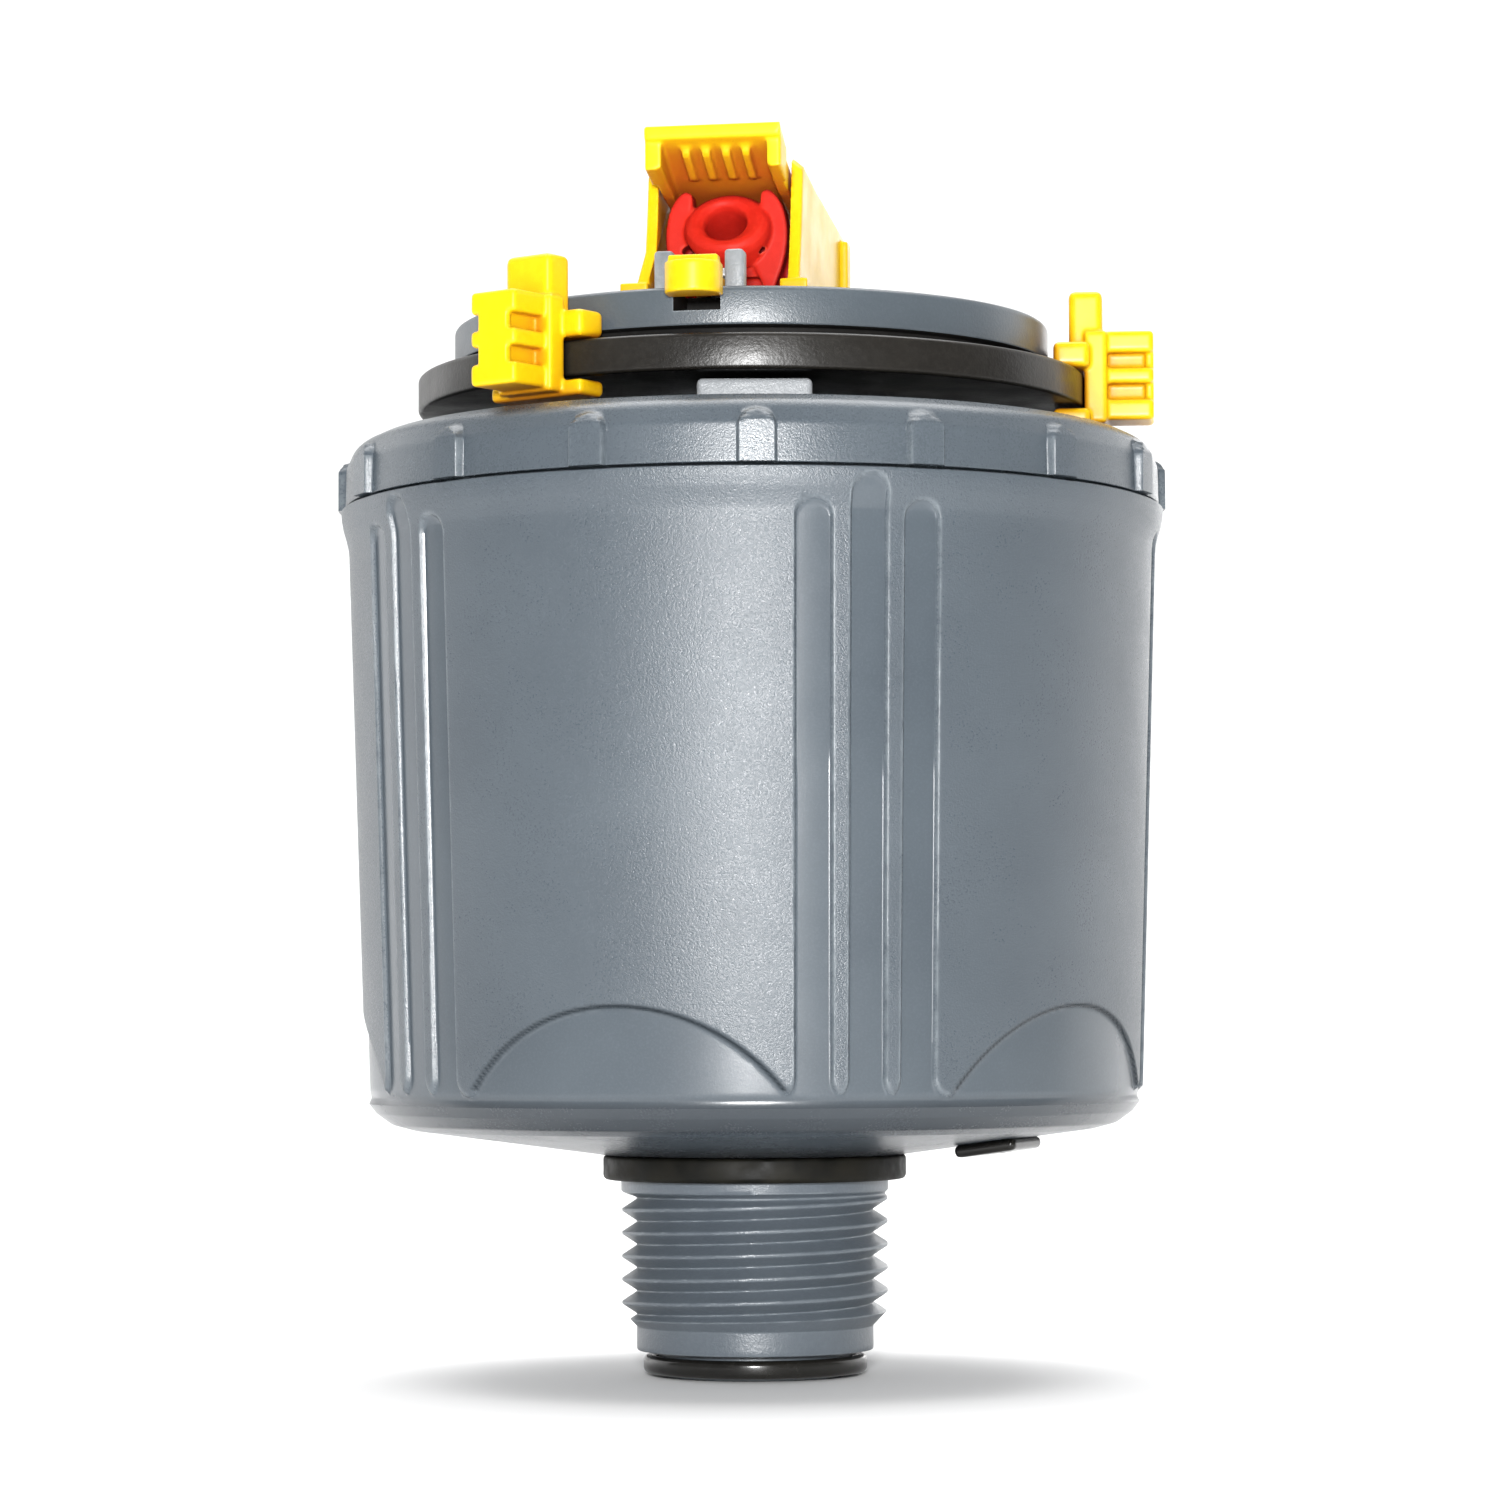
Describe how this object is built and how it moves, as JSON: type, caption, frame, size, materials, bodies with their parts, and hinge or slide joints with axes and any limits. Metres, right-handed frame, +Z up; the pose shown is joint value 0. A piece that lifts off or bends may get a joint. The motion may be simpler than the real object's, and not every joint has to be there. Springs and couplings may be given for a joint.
{
  "type": "motorised rotary head",
  "caption": "Motorised rotary head: tapered ribbed casing on a threaded spigot, with a geared turret, hooded nozzle, trip lever and clip-on sector stops.",
  "frame": {"origin": "bottom centre of the spigot, on the axis of the casing", "axes": "+Z up the axis of the casing, front (towards the viewer) at -Y, +X to the right seen from the front"},
  "size_m": [0.0658, 0.0658, 0.0957],
  "materials": {
    "casing_grey": "fine-grained moulded thermoplastic, blue-grey",
    "light_grey": "satin moulded thermoplastic",
    "ring_black": "glossy black acetal",
    "rubber_black": "matt black nitrile rubber",
    "stop_yellow": "satin yellow moulding",
    "nozzle_red": "satin red moulding",
    "gear_white": "natural acetal",
    "steel": "stainless steel"
  },
  "bodies": {
    "root": {"spigot": "casing_grey", "spigot_gasket": "rubber_black", "tip_o_ring": "rubber_black", "strainer": "gear_white", "drain_plug": "ring_black", "casing": "casing_grey", "cap_ring": "casing_grey", "cap_seal": "rubber_black", "bearing_plate": "light_grey", "stop_ring": "ring_black", "riser_seal": "rubber_black", "thrust_washer": "steel", "stator_plate": "gear_white", "gearbox_can": "gear_white", "gearbox_lid": "gear_white", "gearbox_screw_1": "steel", "gearbox_screw_2": "steel", "gearbox_screw_3": "steel", "centre_axle": "steel", "idler_axle": "steel"},
    "turret": {"turret_disc": "casing_grey", "output_gear": "gear_white", "retaining_clip": "steel", "hood_bracket": "stop_yellow", "bracket_screw_1": "steel", "bracket_screw_2": "steel", "visor_pin": "steel", "nozzle": "nozzle_red", "trip_pivot_pin": "steel"},
    "trip_lever_body": {"trip_lever": "stop_yellow"},
    "visor_body": {"visor": "stop_yellow"},
    "left_stop": {"stop_clip_left": "stop_yellow"},
    "right_stop": {"stop_clip_right": "stop_yellow"},
    "turbine_body": {"turbine": "gear_white"},
    "first_gear_body": {"first_gear": "gear_white"},
    "second_gear_body": {"second_gear": "gear_white"},
    "third_gear_body": {"third_gear": "gear_white"}
  },
  "joints": [
    {"name": "turret_turn", "type": "hinge", "parent": "root", "child": "turret", "pos_m": [0, 0, 0.0805], "axis": [0, 0, 1], "range_deg": [-13, 81]},
    {"name": "trip_swing", "type": "hinge", "parent": "turret", "child": "trip_lever_body", "pos_m": [-0.00243, -0.01379, 0.0837], "axis": [0, 0, 1], "range_deg": [-6, 6]},
    {"name": "visor_tilt", "type": "hinge", "parent": "turret", "child": "visor_body", "pos_m": [0.00139, 0.00788, 0.09], "axis": [-0.9848, 0.1736, 0], "range_deg": [0, 14]},
    {"name": "left_stop_slide", "type": "hinge", "parent": "root", "child": "left_stop", "pos_m": [0, 0, 0.0772], "axis": [0, 0, 1], "range_deg": [-110, 0]},
    {"name": "right_stop_slide", "type": "hinge", "parent": "root", "child": "right_stop", "pos_m": [0, 0, 0.0772], "axis": [0, 0, 1], "range_deg": [0, 60]},
    {"name": "third_gear_spin", "type": "hinge", "parent": "root", "child": "third_gear_body", "pos_m": [0.012, 0, 0.045], "axis": [0, 0, 1], "continuous": true},
    {"name": "second_gear_spin", "type": "hinge", "parent": "root", "child": "second_gear_body", "pos_m": [0, 0, 0.041], "axis": [0, 0, 1], "continuous": true},
    {"name": "first_gear_spin", "type": "hinge", "parent": "root", "child": "first_gear_body", "pos_m": [0.012, 0, 0.038], "axis": [0, 0, 1], "continuous": true},
    {"name": "turbine_spin", "type": "hinge", "parent": "root", "child": "turbine_body", "pos_m": [0, 0, 0.03], "axis": [0, 0, 1], "continuous": true}
  ],
  "couplings": [
    {"joint": "third_gear_spin", "follows": "turret_turn", "ratio": -3},
    {"joint": "second_gear_spin", "follows": "turret_turn", "ratio": 9},
    {"joint": "first_gear_spin", "follows": "turret_turn", "ratio": -27},
    {"joint": "turbine_spin", "follows": "turret_turn", "ratio": 81}
  ]
}
